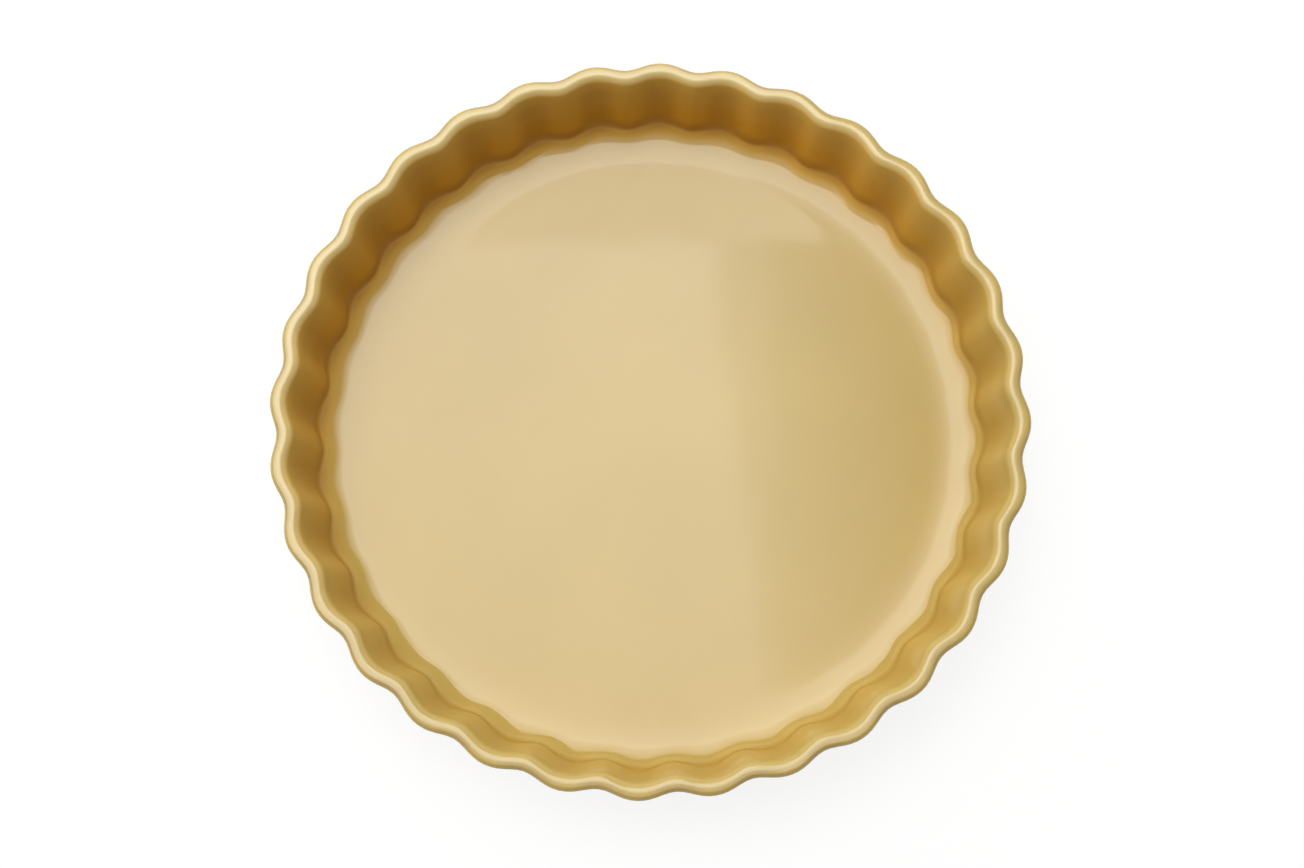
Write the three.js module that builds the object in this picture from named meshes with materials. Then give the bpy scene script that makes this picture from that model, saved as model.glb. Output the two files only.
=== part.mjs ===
// Fluted tart dish: one fired stoneware body under a coat of glaze.
// Millimetres, +Z up. The origin is the middle of the dish, on the surface that it stands on.
import * as THREE from 'three';

// Driving dimensions
const rimDiameter = 280; // over the flute crests
const overallHeight = 40;
const floorThickness = 5.5; // clay and top glaze
const wallThickness = 6; // clay and both glazes, square to the wall
const wallLean = 12; // degrees that the wall leans out from upright
const lipOuterRadius = 1.6; // the inner round of the lip takes what this one leaves of the wall
const coveWidth = 22.5; // inside, from the flat floor out to the wall
const coveHeight = 8;
const coveSquareness = 2.5; // 2 would make the cove an ellipse, and more keeps its foot flatter
const heelRadius = 6; // outside, from the wall down to the foot
const fluteCount = 32;
const fluteDepth = 2.9; // from crest to valley
const valleyTightness = 0.07; // share of a second wave that narrows the valleys
const footWidth = 9; // bare flat ring that the dish stands on
const recessDepth = 1.5; // hollow under the floor, inside the foot
const recessSide = 45; // degrees that the side of the recess leans
const glazeThickness = 0.4;
const wipedAngle = 40; // degrees of the heel, above the foot, that are wiped bare of glaze
const glazeMargin = 1; // bare clay between the side of the recess and the underside glaze

// How finely the round forms are cut into flat faces
const facetsPerFlute = 6;
const coveFacets = 3;
const undersideFacets = 96;
const lipInnerAngles = [135, 90]; // from the inside wall to the top of the lip
const lipOuterAngles = [45, 0]; // and on to its widest point

const radians = THREE.MathUtils.degToRad;
const lean = radians(wallLean);
const upright = Math.PI / 2 - lean; // slope of the wall
const floorTop = recessDepth + floorThickness;

// How far the flutes push the wall out (+) or in (-) at an angle round the dish. A crest lies on +X.
function fluteWave(angle) {
  const turn = fluteCount * angle;
  return (fluteDepth / 2) * (Math.cos(turn) - valleyTightness * Math.cos(2 * turn));
}

// A point of the section: radius, height, and the share of the fluting that it takes.
function ring(r, z, share) {
  return { r, z, share };
}

function ringOnArc(centre, radius, angle, share) {
  return ring(centre.r + radius * Math.cos(angle), centre.z + radius * Math.sin(angle), share);
}

// The lip is two rounds that meet on top of the wall.
const lipInnerRadius = (wallThickness - lipOuterRadius * (1 + Math.sin(lean))) / (1 - Math.sin(lean));
const lipMiddle = rimDiameter / 2 - fluteWave(0) - lipOuterRadius;
const lipInnerCentre = { r: lipMiddle, z: overallHeight - lipInnerRadius };
const lipOuterCentre = { r: lipMiddle, z: overallHeight - lipOuterRadius };

// Radius, at a height, of a line along the wall that lies the given depth inside its outer face.
function insideWall(z, depth) {
  const rise = z - lipOuterCentre.z;
  return lipMiddle + rise * Math.tan(lean) + (lipOuterRadius - depth) / Math.cos(lean);
}

const heelCentre = { r: insideWall(heelRadius, glazeThickness + heelRadius), z: heelRadius };

// The cove is a quarter of a superellipse that runs into the wall where it is as steep as the wall.
const coveExponent = 2 / coveSquareness;
const slopeExponent = 2 - coveExponent;
const coveEnd = Math.atan(((coveWidth / coveHeight) * Math.tan(upright)) ** (1 / slopeExponent));
const coveTop = floorTop + coveHeight * (1 - Math.cos(coveEnd) ** coveExponent);
const floorRadius = insideWall(coveTop, wallThickness) - coveWidth * Math.sin(coveEnd) ** coveExponent;

// A ring of the cove, from 0 at the flat floor to 1 at the wall. The flutes grow on the way up.
function ringOnCove(part, inset) {
  const turn = part * coveEnd;
  const slope = Math.atan((coveHeight / coveWidth) * Math.tan(turn) ** slopeExponent);
  const r = floorRadius + coveWidth * Math.sin(turn) ** coveExponent;
  const z = floorTop + coveHeight * (1 - Math.cos(turn) ** coveExponent);
  return ring(r + inset * Math.sin(slope), z - inset * Math.cos(slope), part ** 2);
}

// The face that carries glaze, from the middle of the floor to the wiped line on the heel.
// With no inset it is the surface of the glaze, and with the glaze's thickness it is the clay below.
function glazedFace(inset) {
  const rings = [ring(0, floorTop - inset, 0)];
  for (let step = 0; step <= coveFacets; step += 1) {
    rings.push(ringOnCove(step / coveFacets, inset));
  }
  rings.push(ringOnArc(lipInnerCentre, lipInnerRadius - inset, Math.PI - lean, 1));
  for (const angle of lipInnerAngles) {
    rings.push(ringOnArc(lipInnerCentre, lipInnerRadius - inset, radians(angle), 1));
  }
  for (const angle of lipOuterAngles) {
    rings.push(ringOnArc(lipOuterCentre, lipOuterRadius - inset, radians(angle), 1));
  }
  const heelFace = heelRadius + glazeThickness - inset;
  const wiped = radians(wipedAngle);
  const wipedShare = wiped / upright; // the flutes die away along the heel
  rings.push(ringOnArc(heelCentre, heelFace, -lean, 1));
  rings.push(ringOnArc(heelCentre, heelFace, wiped - Math.PI / 2, wipedShare));
  return rings;
}

// Turns a section about the Z axis, then flutes it. Sections start and end on the axis.
function flutedRevolve(rings, facets) {
  const profile = rings.map(({ r, z }) => new THREE.Vector2(r, z));
  const geometry = new THREE.LatheGeometry(profile, facets);
  geometry.rotateX(Math.PI / 2);
  const position = geometry.getAttribute('position');
  for (let vertex = 0; vertex < position.count; vertex += 1) {
    const angle = Math.atan2(position.getY(vertex), position.getX(vertex));
    const { r, z, share } = rings[vertex % rings.length];
    const fluted = r + share * fluteWave(angle);
    position.setXYZ(vertex, fluted * Math.cos(angle), fluted * Math.sin(angle), z);
  }
  return geometry;
}

// Turns every face of a geometry round.
function turnFaces(geometry) {
  const index = geometry.getIndex();
  for (let corner = 0; corner < index.count; corner += 3) {
    const first = index.getX(corner);
    index.setX(corner, index.getX(corner + 1));
    index.setX(corner + 1, first);
  }
  return geometry;
}

const wallFacets = fluteCount * facetsPerFlute;

// Clay: the glazed face, then the bare end of the heel, the foot ring and the recess under the floor
const footOuter = heelCentre.r;
const footInner = footOuter - footWidth;
const recessRadius = footInner - recessDepth * Math.tan(radians(recessSide));

function stonewareBody() {
  const rings = [
    ...glazedFace(glazeThickness),
    ring(footOuter, 0, 0),
    ring(footInner, 0, 0),
    ring(recessRadius, recessDepth, 0),
    ring(0, recessDepth, 0),
  ];
  return turnFaces(flutedRevolve(rings, wallFacets));
}

// Glaze coat: out along the clay from the middle of the floor, and back along its own surface
function glazeCoat() {
  const rings = [...glazedFace(glazeThickness), ...glazedFace(0).reverse()];
  return flutedRevolve(rings, wallFacets);
}

// Underside glaze: a thin disc on the ceiling of the recess
function undersideGlaze() {
  const radius = recessRadius - glazeMargin;
  const rings = [
    ring(0, recessDepth - glazeThickness, 0),
    ring(radius, recessDepth - glazeThickness, 0),
    ring(radius, recessDepth, 0),
    ring(0, recessDepth, 0),
  ];
  return flutedRevolve(rings, undersideFacets);
}

const bareClay = new THREE.MeshStandardMaterial({ color: 0xd8c3a0, roughness: 0.9, metalness: 0 });
const strawGlaze = new THREE.MeshStandardMaterial({ color: 0xd8bd80, roughness: 0.12, metalness: 0 });
const strawGlazeBelow = new THREE.MeshStandardMaterial({ color: 0xd3b676, roughness: 0.16, metalness: 0 });

const dish = new THREE.Group();
dish.name = 'tart_dish';

function addPiece(name, geometry, material) {
  const mesh = new THREE.Mesh(geometry, material);
  mesh.name = name;
  dish.add(mesh);
}

addPiece('stoneware_body', stonewareBody(), bareClay);
addPiece('glaze_coat', glazeCoat(), strawGlaze);
addPiece('underside_glaze', undersideGlaze(), strawGlazeBelow);

export default dish;
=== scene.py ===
import math

import bmesh
import bpy
from mathutils import Matrix, Vector


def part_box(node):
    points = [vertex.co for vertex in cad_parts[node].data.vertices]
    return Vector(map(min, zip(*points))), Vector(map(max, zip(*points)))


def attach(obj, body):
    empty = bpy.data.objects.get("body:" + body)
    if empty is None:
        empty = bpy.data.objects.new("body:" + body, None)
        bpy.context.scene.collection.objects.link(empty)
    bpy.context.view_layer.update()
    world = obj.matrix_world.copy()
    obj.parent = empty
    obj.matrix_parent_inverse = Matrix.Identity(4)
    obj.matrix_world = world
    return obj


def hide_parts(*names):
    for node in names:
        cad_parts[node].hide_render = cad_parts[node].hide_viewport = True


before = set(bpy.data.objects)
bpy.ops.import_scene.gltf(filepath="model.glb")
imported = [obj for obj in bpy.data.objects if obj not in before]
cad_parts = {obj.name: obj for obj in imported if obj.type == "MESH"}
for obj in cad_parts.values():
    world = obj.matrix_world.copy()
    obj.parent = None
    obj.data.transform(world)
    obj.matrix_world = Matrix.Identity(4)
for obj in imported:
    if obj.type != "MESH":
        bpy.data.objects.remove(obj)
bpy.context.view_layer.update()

scene = bpy.context.scene
scene.view_settings.view_transform = "Standard"

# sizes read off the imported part, metres
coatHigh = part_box("glaze_coat")[1]
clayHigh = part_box("stoneware_body")[1]
belowLow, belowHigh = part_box("underside_glaze")
glazeThickness = coatHigh.z - clayHigh.z
rimRadius = coatHigh.x
dishHeight = coatHigh.z
recessDepth = belowHigh.z
belowRadius = belowHigh.x

# section of the dish, metres and degrees
dish = {
    "floorThickness": 0.0055,
    "wallThickness": 0.006,
    "wallLean": 12.0,
    "lipOuterRadius": 0.0016,
    "lipFlat": 0.0015,
    "coveWidth": 0.0225,    # the cove is a quarter of a superellipse
    "coveHeight": 0.008,
    "coveSquareness": 3.2,
    "creaseAt": 0.65,       # share of the cove's height where it turns steep
    "heelRadius": 0.006,
    "wipedAngle": 40.0,     # of the heel, left bare above the foot
    "footWidth": 0.009,
    "recessSide": 45.0,
    "coveSteps": 24,
    "wallSteps": 8,
    "lipSteps": 10,
    "heelSteps": 8,
    "bareSteps": 6,
}

flute = {
    "count": 32,
    "columns": 12,          # across one flute
    "depth": 0.0029,        # crest to valley
    "valleyTightness": 0.07,
}

lean = math.radians(dish["wallLean"])
wiped = math.radians(dish["wipedAngle"])
upright = math.pi / 2 - lean    # slope of the wall
floorTop = recessDepth + dish["floorThickness"]

smoothAngle = 40        # degrees, sharper edges stay crisp
mergeDistance = 1e-6    # metres, closer points are one
sameShare = 1e-9        # closer shares of the fluting are equal


def fluteWave(turn):    # push out (+) or in (-) over one flute, -pi to pi with the crest at 0
    return flute["depth"] / 2 * (math.cos(turn) - flute["valleyTightness"] * math.cos(2 * turn))


def alongArc(centre, radius, angle):
    return centre[0] + radius * math.cos(angle), centre[1] + radius * math.sin(angle)


# the lip has a level top between two rounds, the inner one as wide as the wall leaves it
lipOuter = dish["lipOuterRadius"]
lipLeft = dish["wallThickness"] - dish["lipFlat"] * math.cos(lean) - lipOuter * (1 + math.sin(lean))
lipInner = lipLeft / (1 - math.sin(lean))
lipMiddle = rimRadius - fluteWave(0) - lipOuter


def insideWall(height, depth):    # radius of a line along the wall, that deep inside its outer face
    rise = height - dishHeight + lipOuter
    return lipMiddle + rise * math.tan(lean) + (lipOuter - depth) / math.cos(lean)


coveWidth, coveHeight = dish["coveWidth"], dish["coveHeight"]
coveExponent = 2 / dish["coveSquareness"]
slopeExponent = 2 - coveExponent
coveEnd = math.atan((coveWidth / coveHeight * math.tan(upright)) ** (1 / slopeExponent))
coveTop = floorTop + coveHeight * (1 - math.cos(coveEnd) ** coveExponent)
coveReach = coveWidth * math.sin(coveEnd) ** coveExponent
floorRadius = insideWall(coveTop, dish["wallThickness"]) - coveReach
creaseHeight = floorTop + dish["creaseAt"] * coveHeight
heelRadius = dish["heelRadius"]
heelCentre = (insideWall(heelRadius, glazeThickness + heelRadius), heelRadius)


# a ring is a radius, a height and its share of the fluting
def arc(centre, radius, start, end, steps, share):    # share gives the fluting by angle
    rings = []
    for step in range(steps + 1):
        angle = start + (end - start) * step / steps
        rings.append((*alongArc(centre, radius, angle), share(angle)))
    return rings


def between(start, end, steps):    # rings on a straight wall, ends left out
    rings = []
    for step in range(1, steps):
        part = step / steps
        radius = start[0] + (end[0] - start[0]) * part
        height = start[1] + (end[1] - start[1]) * part
        rings.append((radius, height, 1.0))
    return rings


def coveRings(inset):    # up the cove from the flat floor to the wall, the flutes growing on the way
    rings = []
    for step in range(dish["coveSteps"] + 1):
        part = step / dish["coveSteps"]
        turn = part * coveEnd
        slope = math.atan(coveHeight / coveWidth * math.tan(turn) ** slopeExponent)
        radius = floorRadius + coveWidth * math.sin(turn) ** coveExponent
        height = floorTop + coveHeight * (1 - math.cos(turn) ** coveExponent)
        rings.append((radius + inset * math.sin(slope), height - inset * math.cos(slope), part ** 2))
    return rings


def shareOutside(angle):    # flutes die away along the heel
    return (angle + math.pi / 2) / upright


def fullShare(angle):
    return 1.0


def glazedSection(inset):    # rings from the edge of the flat floor to the wiped line
    straightUp, straightDown = math.pi / 2, -math.pi / 2
    innerCentre = (lipMiddle - dish["lipFlat"], dishHeight - lipInner)
    outerCentre = (lipMiddle, dishHeight - lipOuter)
    cove = coveRings(inset)
    lipIn = arc(innerCentre, lipInner - inset, math.pi - lean, straightUp,
                dish["lipSteps"], fullShare)
    lipOut = arc(outerCentre, lipOuter - inset, straightUp, -lean,
                 dish["lipSteps"], fullShare)
    heel = arc(heelCentre, heelRadius + glazeThickness - inset, -lean, straightDown + wiped,
               dish["heelSteps"], shareOutside)
    inner = between(cove[-1], lipIn[0], dish["wallSteps"])
    outer = between(lipOut[-1], heel[0], dish["wallSteps"])
    return cove + inner + lipIn + lipOut + outer + heel


def selectOnly(mesh, keep):    # in edit mode, select the vertices that the test keeps
    work = bmesh.from_edit_mesh(mesh)
    for vertex in work.verts:
        vertex.select = keep(vertex)
    work.select_flush(True)
    work.select_flush(False)
    bmesh.update_edit_mesh(mesh)


def columnOf(vertex):    # columns away from the crest of the flute on +X
    turn = math.atan2(vertex.co.y, vertex.co.x) * flute["count"]
    return abs(round(turn / (2 * math.pi) * flute["columns"]))


def raiseFlute(mesh, radius, height, carried, share):    # scale each column of the newest ring out or in
    work = bmesh.from_edit_mesh(mesh)
    ring = {vertex.index for vertex in work.verts if vertex.select}
    for column in range(flute["columns"] // 2 + 1):
        wave = fluteWave(2 * math.pi * column / flute["columns"])
        ratio = (radius + share * wave) / (radius + carried * wave)
        selectOnly(mesh, lambda v: v.index in ring and columnOf(v) == column)
        bpy.ops.transform.resize(value=(ratio, ratio, 1), center_override=(0, 0, height))
    selectOnly(mesh, lambda v: v.index in ring)


def modelOneFlute(name, rings):    # a fan of the floor, then a strip drawn up the section ring by ring
    bpy.ops.object.select_all(action="DESELECT")
    lastRadius, lastHeight, lastShare = rings[0]
    bpy.ops.mesh.primitive_circle_add(vertices=flute["count"] * flute["columns"], radius=lastRadius,
                                      fill_type="TRIFAN", location=(0, 0, lastHeight))
    piece = bpy.context.active_object
    piece.name = piece.data.name = name
    bpy.ops.object.transform_apply(location=True, rotation=True, scale=True)
    bpy.ops.object.mode_set(mode="EDIT")
    bpy.ops.mesh.select_mode(type="VERT")
    offMiddle, half = lastRadius / 2, flute["columns"] / 2
    selectOnly(piece.data, lambda v: v.co.xy.length > offMiddle and columnOf(v) > half)
    bpy.ops.mesh.delete(type="VERT")
    selectOnly(piece.data, lambda v: v.co.xy.length > offMiddle)
    for radius, height, share in rings[1:]:
        step = (0, 0, height - lastHeight)
        bpy.ops.mesh.extrude_region_move(TRANSFORM_OT_translate={"value": step})
        ratio = radius / lastRadius
        bpy.ops.transform.resize(value=(ratio, ratio, 1), center_override=(0, 0, height))
        carried = lastShare * ratio
        if abs(share - carried) > sameShare:
            raiseFlute(piece.data, radius, height, carried, share)
        lastRadius, lastHeight, lastShare = radius, height, share
    return piece


def spinRound():    # copy the flute round the dish, join the seams and turn the faces outwards
    bpy.ops.mesh.select_all(action="SELECT")
    count = flute["count"]
    bpy.ops.mesh.spin(steps=count - 1, dupli=True, angle=2 * math.pi * (count - 1) / count,
                      center=(0, 0, 0), axis=(0, 0, 1))
    bpy.ops.mesh.select_all(action="SELECT")
    bpy.ops.mesh.remove_doubles(threshold=mergeDistance)
    bpy.ops.mesh.normals_make_consistent(inside=False)
    bpy.ops.object.mode_set(mode="OBJECT")


def addModifier(piece, kind, **settings):
    modifier = piece.modifiers.new(kind.title(), kind)
    for name, value in settings.items():
        setattr(modifier, name, value)
    bpy.context.view_layer.objects.active = piece
    bpy.ops.object.modifier_apply(modifier=modifier.name)


def smoothByAngle(piece):
    bpy.ops.object.select_all(action="DESELECT")
    piece.select_set(True)
    bpy.context.view_layer.objects.active = piece
    bpy.ops.object.shade_smooth_by_angle(angle=math.radians(smoothAngle))


# glaze coat: one open skin over floor, wall and lip, then its thickness inwards and a rounded edge
coat = {"edgeRound": 0.00015, "edgeSteps": 3, "edgeAngle": 60}
glazePiece = modelOneFlute("glaze_coat_fine", glazedSection(0))
spinRound()
addModifier(glazePiece, "SOLIDIFY", thickness=glazeThickness, offset=-1, use_even_offset=True)
addModifier(glazePiece, "BEVEL", width=coat["edgeRound"], segments=coat["edgeSteps"],
            limit_method="ANGLE", angle_limit=math.radians(coat["edgeAngle"]))
smoothByAngle(glazePiece)
print("glaze coat", len(glazePiece.data.polygons), "faces")

# clay: the same section under the glaze, then the bare heel, the foot ring and the recess
clay = {
    "clearance": 0.00002,    # metres under the glaze
    "tuck": 3.0,             # degrees from the wiped line down to the bare heel
    "footRound": 0.0006,
    "footRoundSteps": 4,
    "roundAngle": 30,
}
footOuter = heelCentre[0]
footInner = footOuter - dish["footWidth"]
recessRadius = footInner - recessDepth * math.tan(math.radians(dish["recessSide"]))
bareStart = wiped - math.pi / 2 - math.radians(clay["tuck"])
clayRings = glazedSection(glazeThickness + clay["clearance"])
clayRings += arc(heelCentre, heelRadius, bareStart, -math.pi / 2, dish["bareSteps"], shareOutside)
clayRings += [(footInner, 0.0, 0.0), (recessRadius, recessDepth, 0.0), (0.0, recessDepth, 0.0)]
clayPiece = modelOneFlute("stoneware_body_fine", clayRings)
spinRound()
addModifier(clayPiece, "BEVEL", width=clay["footRound"], segments=clay["footRoundSteps"],
            limit_method="ANGLE", angle_limit=math.radians(clay["roundAngle"]))
smoothByAngle(clayPiece)
print("stoneware body", len(clayPiece.data.polygons), "faces")

# underside glaze: a thin pool in the recess with a rounded edge
pool = {"sides": 256, "clearance": 0.00002, "edgeRound": 0.0003, "edgeSteps": 4}
bpy.ops.object.select_all(action="DESELECT")
bpy.ops.mesh.primitive_circle_add(vertices=pool["sides"], radius=belowRadius, fill_type="TRIFAN",
                                  location=(0, 0, belowLow.z))
belowPiece = bpy.context.active_object
belowPiece.name = belowPiece.data.name = "underside_glaze_fine"
bpy.ops.object.transform_apply(location=True, rotation=True, scale=True)
bpy.ops.object.mode_set(mode="EDIT")
bpy.ops.mesh.select_all(action="SELECT")
rise = recessDepth - belowLow.z - pool["clearance"]
bpy.ops.mesh.extrude_region_move(TRANSFORM_OT_translate={"value": (0, 0, rise)})
bpy.ops.mesh.select_mode(type="EDGE")


def onLowRim(vertex):
    low = abs(vertex.co.z - belowLow.z) < mergeDistance
    return low and vertex.co.xy.length > belowRadius / 2


work = bmesh.from_edit_mesh(belowPiece.data)
for edge in work.edges:
    edge.select = all(onLowRim(vertex) for vertex in edge.verts)
bmesh.update_edit_mesh(belowPiece.data)
bpy.ops.mesh.bevel(offset=pool["edgeRound"], segments=pool["edgeSteps"], affect="EDGES")
bpy.ops.mesh.select_all(action="SELECT")
bpy.ops.mesh.normals_make_consistent(inside=False)
bpy.ops.object.mode_set(mode="OBJECT")
smoothByAngle(belowPiece)
print("underside glaze", len(belowPiece.data.polygons), "faces")


# materials
def newMaterial(name):
    material = bpy.data.materials.new(name)
    material.use_nodes = True
    return material, material.node_tree, material.node_tree.nodes["Principled BSDF"]


def feed(tree, socket, value):    # link a node's output, or write a value
    if isinstance(value, bpy.types.NodeSocket):
        tree.links.new(value, socket)
    else:
        socket.default_value = value


def node(tree, kind, inputs=None, **settings):
    made = tree.nodes.new("ShaderNode" + kind)
    for name, value in settings.items():
        setattr(made, name, value)
    for socket, value in (inputs or {}).items():
        feed(tree, made.inputs[socket], value)
    return made


def maths(tree, operation, *values):
    return node(tree, "Math", dict(enumerate(values)), operation=operation).outputs[0]


def times(tree, product, *others):    # all of them multiplied together
    for other in others:
        product = maths(tree, "MULTIPLY", product, other)
    return product


def spread(tree, value, low, high, toLow=0.0, toHigh=1.0):    # smooth step from one range to another
    inputs = {"Value": value, "From Min": low, "From Max": high, "To Min": toLow, "To Max": toHigh}
    return node(tree, "MapRange", inputs, interpolation_type="SMOOTHSTEP").outputs["Result"]


def mixColour(tree, factor, first, second):
    made = node(tree, "Mix", {"Factor": factor}, data_type="RGBA")
    feed(tree, made.inputs[6], first)
    feed(tree, made.inputs[7], second)
    return made.outputs[2]


def noise(tree, place, scale, detail=2.0, roughness=0.5):
    inputs = {"Vector": place, "Scale": scale, "Detail": detail, "Roughness": roughness}
    return node(tree, "TexNoise", inputs).outputs["Fac"]


def bump(tree, height, distance, under=None):
    inputs = {"Height": height, "Distance": distance, "Strength": 1.0}
    if under is not None:
        inputs["Normal"] = under
    return node(tree, "Bump", inputs).outputs["Normal"]


glaze = {
    "straw": (0.555, 0.388, 0.10, 1),
    "clouds": (0.52725, 0.3686, 0.095, 1),    # faint ones in the straw
    "amber": (0.605, 0.40, 0.10, 1),          # down the inside wall
    "brown": (0.67, 0.315, 0.018, 1),         # the same darkened as painted shade on the back-left side, which faces away from the lamps
    "honey": (0.49, 0.295, 0.055, 1),         # where it pools in the crease and the inside hollows, darker there also as painted shade
    "toffee": (0.50, 0.215, 0.012, 1),        # the same darkened as painted shade on the back-left side; also the thick roll above the foot
    "gold": (0.70, 0.42, 0.09, 1),            # above and below that wall on the back-left side, painted warm bounce light
    "cream": (0.70, 0.55, 0.235, 1),          # where it runs thin, and as painted light on the back-left lip
    "tan": (0.47, 0.32, 0.105, 1),            # in the hollows of the outside
    "roughness": 0.045,
    "ior": 1.55,
    "paintedSideAngle": 112.0,                        # degrees round the dish to the back-left side, where painted shade and light go into the colour
    "lipFarSideShare": 0.35,                      # share of the lip's cream on the other side, without the painted light
    # noises, scale and detail
    "cloudNoise": (16.0, 3.0),
    "dripNoise": (120.0, 3.0),
    "dripStretch": (1, 1, 0.12),
    "dripDepth": 0.9,
    "rippleNoise": (28.0, 1.0),
    "rippleDepth": 0.0001,
    "peelNoise": (700.0, 2.0),
    "peelDepth": 0.000004,
    # runs of the coat by height, metres: from and to, then the share at both
    "wallFoot": (creaseHeight - 0.0042, creaseHeight + 0.0002, 0.0, 1.0),
    "wallHead": (0.031, 0.0395, 1.0, 0.0),
    "wallPaler": (0.018, 0.034, 0.0, 0.18),
    "creaseFoot": (creaseHeight - 0.002, creaseHeight + 0.0003, 0.0, 1.0),
    "creaseHead": (creaseHeight, creaseHeight + 0.006, 0.9, 0.0),
    "coveFoot": (floorTop + 0.0003, floorTop + 0.0025, 0.0, 1.0),
    "wipedEdge": (0.0012, 0.0045, 0.9, 0.0),
    "lipTop": (dishHeight - 0.0018, dishHeight - 0.0003, 0.0, 0.9),
    # runs by other measures
    "lipInside": (-0.0002, 0.0022, 1.0, 0.1),    # metres outwards from the middle of the wall
    "wallHollow": (-0.7, 1.0, 0.0, 0.7),         # flute, -1 in the valley and 1 on the crest; the inside hollows get pooled glaze and painted shade
    "outerHollow": (-1.6, 0.7, 0.85, 0.0),       # flute less the drips
    "paintedSideRun": (-0.6, 0.9, 0.0, 1.0),          # -1 on the far side and 1 on the back-left side of painted shade and light
    "cloudRun": (0.3, 0.7, 0.0, 1.0),
    "dripRun": (0.35, 0.7, 0.0, 1.0),
}


def glazeMaterial(name):
    material, tree, shader = newMaterial(name)

    def run(value, kind):
        return spread(tree, value, *glaze[kind])

    place = node(tree, "TexCoord").outputs["Object"]
    parts = node(tree, "SeparateXYZ", {"Vector": place}).outputs
    height = parts["Z"]
    flat = node(tree, "CombineXYZ", {"X": parts["X"], "Y": parts["Y"]}).outputs["Vector"]
    radius = node(tree, "VectorMath", {0: flat}, operation="LENGTH").outputs["Value"]
    cloud = run(noise(tree, place, *glaze["cloudNoise"]), "cloudRun")
    straw = mixColour(tree, cloud, glaze["straw"], glaze["clouds"])
    # how far a point lies outside the middle of the fluted wall
    angle = maths(tree, "ARCTAN2", parts["Y"], parts["X"])
    crest = maths(tree, "COSINE", maths(tree, "MULTIPLY", angle, flute["count"]))
    middleAtTable = insideWall(0, dish["wallThickness"] / 2)
    middle = maths(tree, "MULTIPLY_ADD", height, math.tan(lean), middleAtTable)
    fluted = maths(tree, "MULTIPLY_ADD", crest, flute["depth"] / 2, middle)
    outwards = maths(tree, "SUBTRACT", radius, fluted)
    inside = maths(tree, "LESS_THAN", outwards, 0.0)
    # deeper down the inside wall and deepest along the crease of the cove, where pooled glaze and
    # painted shade are put together
    onWall = times(tree, run(height, "wallFoot"), run(height, "wallHead"), inside)
    crease = times(tree, run(height, "creaseFoot"), run(height, "creaseHead"), inside)
    side = math.radians(glaze["paintedSideAngle"])
    towards = {0: flat, 1: (math.cos(side), math.sin(side), 0)}
    sideways = node(tree, "VectorMath", towards, operation="DOT_PRODUCT").outputs["Value"]
    # painted shade and light by side: 1 towards the back-left, where the inside wall faces away from the
    # lamps and is painted darker and browner
    paintedSide = run(maths(tree, "DIVIDE", sideways, radius), "paintedSideRun")
    wallColour = mixColour(tree, paintedSide, glaze["amber"], glaze["brown"])
    poolShadeColour = mixColour(tree, paintedSide, glaze["honey"], glaze["toffee"])
    # the inside hollows of the flutes take the pooled colour: partly pooled glaze, partly painted shade
    wallColour = mixColour(tree, run(crest, "wallHollow"), wallColour, poolShadeColour)
    wallColour = mixColour(tree, run(height, "wallPaler"), wallColour, glaze["cream"])
    # painted warm bounce light: gold in place of straw up from the cove foot on the back-left side
    offFloor = maths(tree, "MULTIPLY", run(height, "coveFoot"), paintedSide)
    offWall = mixColour(tree, offFloor, straw, glaze["gold"])
    poolAndShade = mixColour(tree, crease, mixColour(tree, onWall, offWall, wallColour), poolShadeColour)
    # outside it ran down into the hollows and to a thick edge above the foot
    stretch = {0: place, 1: glaze["dripStretch"]}
    drawn = node(tree, "VectorMath", stretch, operation="MULTIPLY").outputs["Vector"]
    drips = run(noise(tree, drawn, *glaze["dripNoise"]), "dripRun")
    hollow = run(maths(tree, "MULTIPLY_ADD", drips, -glaze["dripDepth"], crest), "outerHollow")
    outer = mixColour(tree, hollow, straw, glaze["tan"])
    outer = mixColour(tree, run(height, "wipedEdge"), outer, glaze["toffee"])
    body = mixColour(tree, inside, outer, poolAndShade)
    # thin and pale over the lip, paler still on the back-left side as painted light
    farSideShare = glaze["lipFarSideShare"]
    lipSideShare = maths(tree, "MULTIPLY_ADD", paintedSide, 1 - farSideShare, farSideShare)
    lip = times(tree, run(height, "lipTop"), run(outwards, "lipInside"), lipSideShare)
    feed(tree, shader.inputs["Base Color"], mixColour(tree, lip, body, glaze["cream"]))
    shader.inputs["Roughness"].default_value = glaze["roughness"]
    shader.inputs["IOR"].default_value = glaze["ior"]
    ripple = bump(tree, noise(tree, place, *glaze["rippleNoise"]), glaze["rippleDepth"])
    peel = bump(tree, noise(tree, place, *glaze["peelNoise"]), glaze["peelDepth"], ripple)
    feed(tree, shader.inputs["Normal"], peel)
    return material


glazePiece.data.materials.append(glazeMaterial("strawGlaze"))
belowPiece.data.materials.append(glazeMaterial("strawGlazeBelow"))

stoneware = {
    "buff": (0.62, 0.48, 0.31, 1),
    "toast": (0.50, 0.34, 0.19, 1),
    "toastRun": (0.35, 0.7),
    "cloudNoise": (40.0, 3.0),
    "grainNoise": (900.0, 4.0, 0.65),
    "grainDepth": 0.00006,
    "roughness": 0.85,
}


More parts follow.
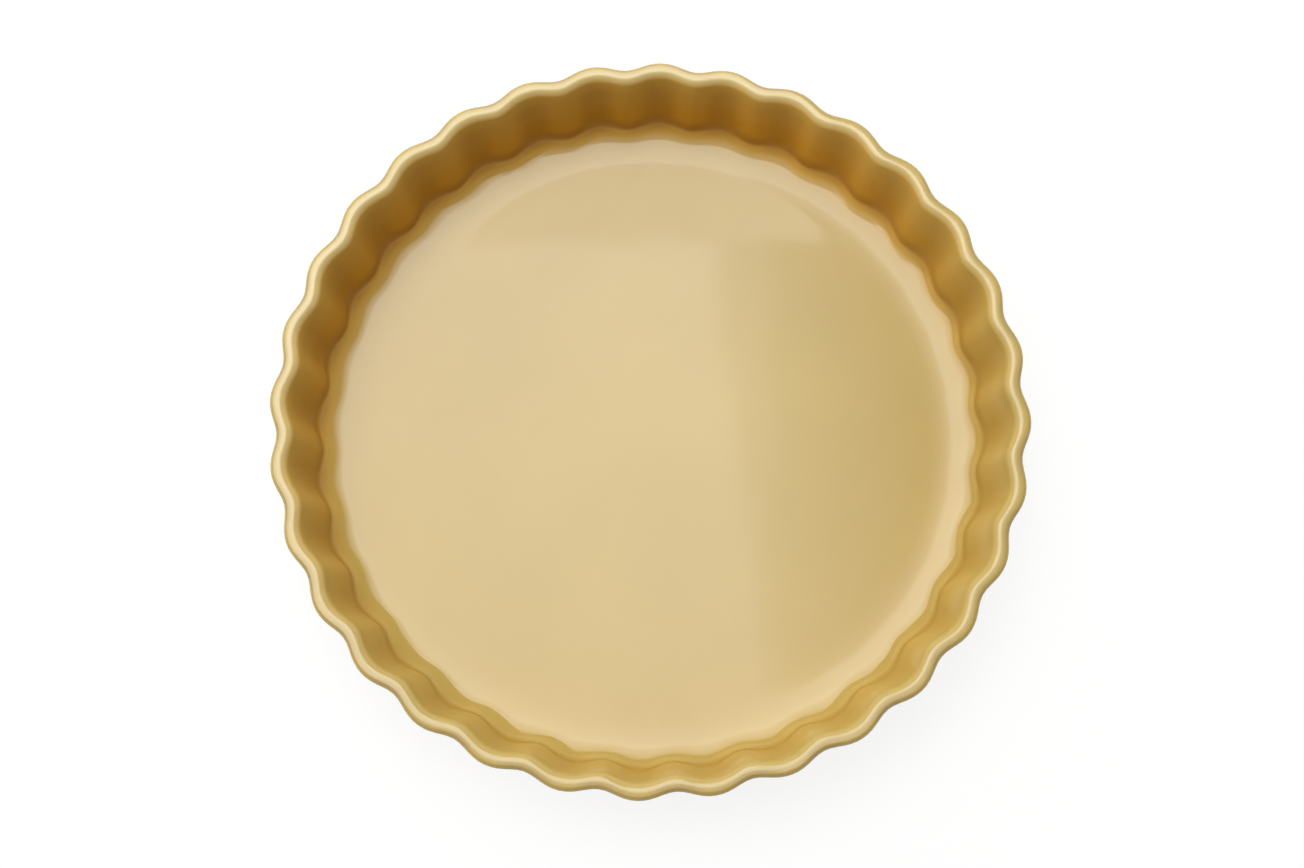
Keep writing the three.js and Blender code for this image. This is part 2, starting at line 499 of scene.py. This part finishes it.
def stonewareMaterial():
    material, tree, shader = newMaterial("bareStoneware")
    place = node(tree, "TexCoord").outputs["Object"]
    grain = noise(tree, place, *stoneware["grainNoise"])
    cloud = noise(tree, place, *stoneware["cloudNoise"])
    toasted = spread(tree, cloud, *stoneware["toastRun"])
    body = mixColour(tree, toasted, stoneware["buff"], stoneware["toast"])
    feed(tree, shader.inputs["Base Color"], body)
    shader.inputs["Roughness"].default_value = stoneware["roughness"]
    feed(tree, shader.inputs["Normal"], bump(tree, grain, stoneware["grainDepth"]))
    return material


clayPiece.data.materials.append(stonewareMaterial())
print("materials done")

# camera and lamps stand round the dish as in the photograph, turned together to line up the flutes
camera = {
    "lens": 43.4,           # millimetres, as is the sensor
    "sensor": 36,
    "nearest": 0.01,
    "eye": (0.0, -0.1515, 0.5963),
    "aim": (0.0007, -0.0088, 0.0378),
    "turn": 2.07,           # degrees round the dish
}
turnRound = Matrix.Rotation(math.radians(camera["turn"]), 4, "Z")


def aimFrom(made, start, end):
    made.location = turnRound @ Vector(start)
    sight = turnRound @ Vector(end) - made.location
    made.rotation_euler = sight.to_track_quat("-Z", "Y").to_euler()


lens = bpy.data.cameras.new("photoCamera")
lens.lens = camera["lens"]
lens.sensor_width = camera["sensor"]
lens.clip_start = camera["nearest"]
cameraObject = bpy.data.objects.new("photoCamera", lens)
scene.collection.objects.link(cameraObject)
aimFrom(cameraObject, camera["eye"], camera["aim"])
scene.camera = cameraObject

# lamps: a softbox overhead with soft edges, three windows, and one below for the underside
# metres, and level 1 is as bright as a white sheet
lampHeight = 2.0
lamps = {
    "softbox": {"x": (-0.67, 0.21), "y": (-0.03, 0.85), "level": 5.4, "fades": "-Y", "to": 0.73,
                "slant": {"front": 0.199, "back": 0.107, "soft": 0.025, "share": 0.8,
                          "falls": 1.7}},
    "rightEdge": {"x": (0.21, 0.64), "y": (-0.2, 0.85), "level": 3.15, "fades": "X", "to": 0.055},
    "backEdge": {"x": (-0.67, 0.32), "y": (0.85, 2.3), "level": 4.35, "fades": "Y", "to": 0.25},
    "leftEdge": {"x": (-1.9, -0.67), "y": (-0.2, 1.3), "level": 3.9, "fades": "-X", "to": 0.35},
    "frontEdge": {"x": (-1.5, 0.3), "y": (-0.8, -0.03), "level": 1.3, "fades": "-Y", "to": 0.2},
    "backWindow": {"middle": (0.0, 1.8, 0.6), "size": (2.4, 0.8), "level": 2.4},
    "leftWindow": {"middle": (-2.2, 0.2, 0.6), "size": (2.4, 0.8), "level": 2.1},
    "rightWindow": {"middle": (1.8, 0.0, 0.6), "size": (2.4, 0.8), "level": 0.4},
    "fromBelow": {"middle": (0.0, 0.0, -1.5), "size": (1.6, 1.6), "level": 1.8},
}


def slantEdge(tree, across, width, panel):    # dimmer right of a slanting edge, falling off from there
    slant = panel["slant"]
    edge = maths(tree, "MULTIPLY_ADD", across["Y"], slant["back"] - slant["front"], slant["front"])
    rightwards = maths(tree, "MULTIPLY_ADD", across["X"], width, panel["x"][0])
    beyond = maths(tree, "SUBTRACT", rightwards, edge)
    dimmer = spread(tree, beyond, -slant["soft"], slant["soft"], 1.0, slant["share"])
    past = maths(tree, "MAXIMUM", beyond, 0.0)
    return maths(tree, "MULTIPLY", dimmer, maths(tree, "MULTIPLY_ADD", past, -slant["falls"], 1.0))


def fadeAcross(light, panel):    # evenly from full to the share named, a minus sign turns it round
    light.use_nodes = True
    tree = light.node_tree
    surface = node(tree, "NewGeometry").outputs["Parametric"]
    across = node(tree, "SeparateXYZ", {"Vector": surface}).outputs
    start, end = 1.0, panel["to"]
    if panel["fades"].startswith("-"):
        start, end = end, start
    strength = maths(tree, "MULTIPLY_ADD", across[panel["fades"][-1]], end - start, start)
    if "slant" in panel:
        slanted = slantEdge(tree, across, light.size, panel)
        strength = maths(tree, "MULTIPLY", strength, slanted)
    feed(tree, tree.nodes["Emission"].inputs["Strength"], strength)


def addLamp(name, panel):
    light = bpy.data.lights.new(name, "AREA")
    lamp = bpy.data.objects.new(name, light)
    scene.collection.objects.link(lamp)
    light.shape = "RECTANGLE"
    if "middle" in panel:    # upright beside the dish, or level under it
        light.size, light.size_y = panel["size"]
        middle = panel["middle"]
        aimFrom(lamp, middle, (0, 0, max(middle[2], 0)))
        lamp.visible_glossy = False    # curtained: it lights, and doesn't mirror
    else:    # level, facing down
        (left, right), (front, back) = panel["x"], panel["y"]
        light.size, light.size_y = right - left, back - front
        place = Matrix.Translation(((left + right) / 2, (front + back) / 2, lampHeight))
        lamp.matrix_world = turnRound @ place
    light.energy = panel["level"] * math.pi * light.size * light.size_y
    if "fades" in panel:
        fadeAcross(light, panel)
    lamp.visible_camera = False


for name, panel in lamps.items():
    addLamp(name, panel)


def seenRays(tree):    # 1 for what the camera sees, straight or in a reflection
    rays = node(tree, "LightPath").outputs
    seen = maths(tree, "MAXIMUM", rays["Is Camera Ray"], rays["Is Glossy Ray"])
    return maths(tree, "MAXIMUM", seen, rays["Is Transmission Ray"])


# white to the camera, a dim ceiling over white walls in reflections, a low fill on matt surfaces
surroundings = {
    "white": 1.0,
    "ceiling": 0.05,
    "ceilingStarts": 0.15,    # upwards, 0 at the horizon and 1 overhead
    "ceilingFull": 0.45,
    "fill": 0.23,
}
world = bpy.data.worlds.new("studio")
scene.world = world
world.use_nodes = True
tree = world.node_tree
tree.nodes.clear()
seen = seenRays(tree)
fill = node(tree, "Background", {"Strength": surroundings["fill"]}).outputs[0]
direction = node(tree, "TexCoord").outputs["Generated"]
upwards = node(tree, "SeparateXYZ", {"Vector": direction}).outputs["Z"]
shade = spread(tree, upwards, surroundings["ceilingStarts"], surroundings["ceilingFull"],
               surroundings["white"], surroundings["ceiling"])
straight = node(tree, "LightPath").outputs["Is Camera Ray"]
shade = maths(tree, "MAXIMUM", shade, maths(tree, "MULTIPLY", straight, surroundings["white"]))
white = node(tree, "Background", {"Color": (1, 1, 1, 1), "Strength": shade}).outputs[0]
background = node(tree, "MixShader", {0: seen, 1: fill, 2: white}).outputs[0]
feed(tree, node(tree, "OutputWorld").inputs["Surface"], background)

# floor: white to the camera with a faint soft shadow, and a plain pale sheet to the light
# it is open under the foot and clear from below, so that the underside can be lit and seen
ground = {
    "radius": 6.0,
    "opening": 0.98,                       # share of the foot's radius
    "sides": 128,
    "sheet": (0.8, 0.8, 0.79, 1),
    "shadowed": (0.16, 0.16, 0.158, 1),    # what the camera sees of it besides the glow
    "glow": 0.86,
    "whitens": (0.5, 2.5),                 # metres from the dish over which it turns plain white
}
bpy.ops.object.select_all(action="DESELECT")
openRadius = footOuter * ground["opening"]
bpy.ops.mesh.primitive_circle_add(vertices=ground["sides"], radius=openRadius)
floorObject = bpy.context.active_object
floorObject.name = "studioFloor"
bpy.ops.object.mode_set(mode="EDIT")
bpy.ops.mesh.select_all(action="SELECT")
bpy.ops.mesh.extrude_region_move()
outRatio = ground["radius"] / openRadius
bpy.ops.transform.resize(value=(outRatio, outRatio, 1), center_override=(0, 0, 0))
if bmesh.from_edit_mesh(floorObject.data).faces[:][0].normal.z < 0:
    bpy.ops.mesh.select_all(action="SELECT")
    bpy.ops.mesh.flip_normals()
bpy.ops.object.mode_set(mode="OBJECT")
floorMaterial, tree, shader = newMaterial("studioFloor")
seen = seenRays(tree)
sheet = mixColour(tree, seen, ground["sheet"], ground["shadowed"])
feed(tree, shader.inputs["Base Color"], sheet)
shader.inputs["Roughness"].default_value = 1.0
shader.inputs["Specular IOR Level"].default_value = 0.0
shader.inputs["Emission Color"].default_value = (1, 1, 1, 1)
place = node(tree, "TexCoord").outputs["Object"]
away = node(tree, "VectorMath", {0: place}, operation="LENGTH").outputs["Value"]
glow = spread(tree, away, *ground["whitens"], ground["glow"], 1.0)
feed(tree, shader.inputs["Emission Strength"], maths(tree, "MULTIPLY", seen, glow))
clear = node(tree, "BsdfTransparent").outputs[0]
fromBehind = node(tree, "NewGeometry").outputs["Backfacing"]
oneSided = node(tree, "MixShader", {0: fromBehind, 1: shader.outputs[0], 2: clear}).outputs[0]
feed(tree, tree.nodes["Material Output"].inputs["Surface"], oneSided)
floorObject.data.materials.append(floorMaterial)
print("studio done")

pieces = [
    (glazePiece, "glaze_coat", "straw_glaze"),
    (clayPiece, "stoneware_body", "bare_stoneware"),
    (belowPiece, "underside_glaze", "underside_straw_glaze"),
]
for piece, stands, finish in pieces:
    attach(piece, "root")
    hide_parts(stands)
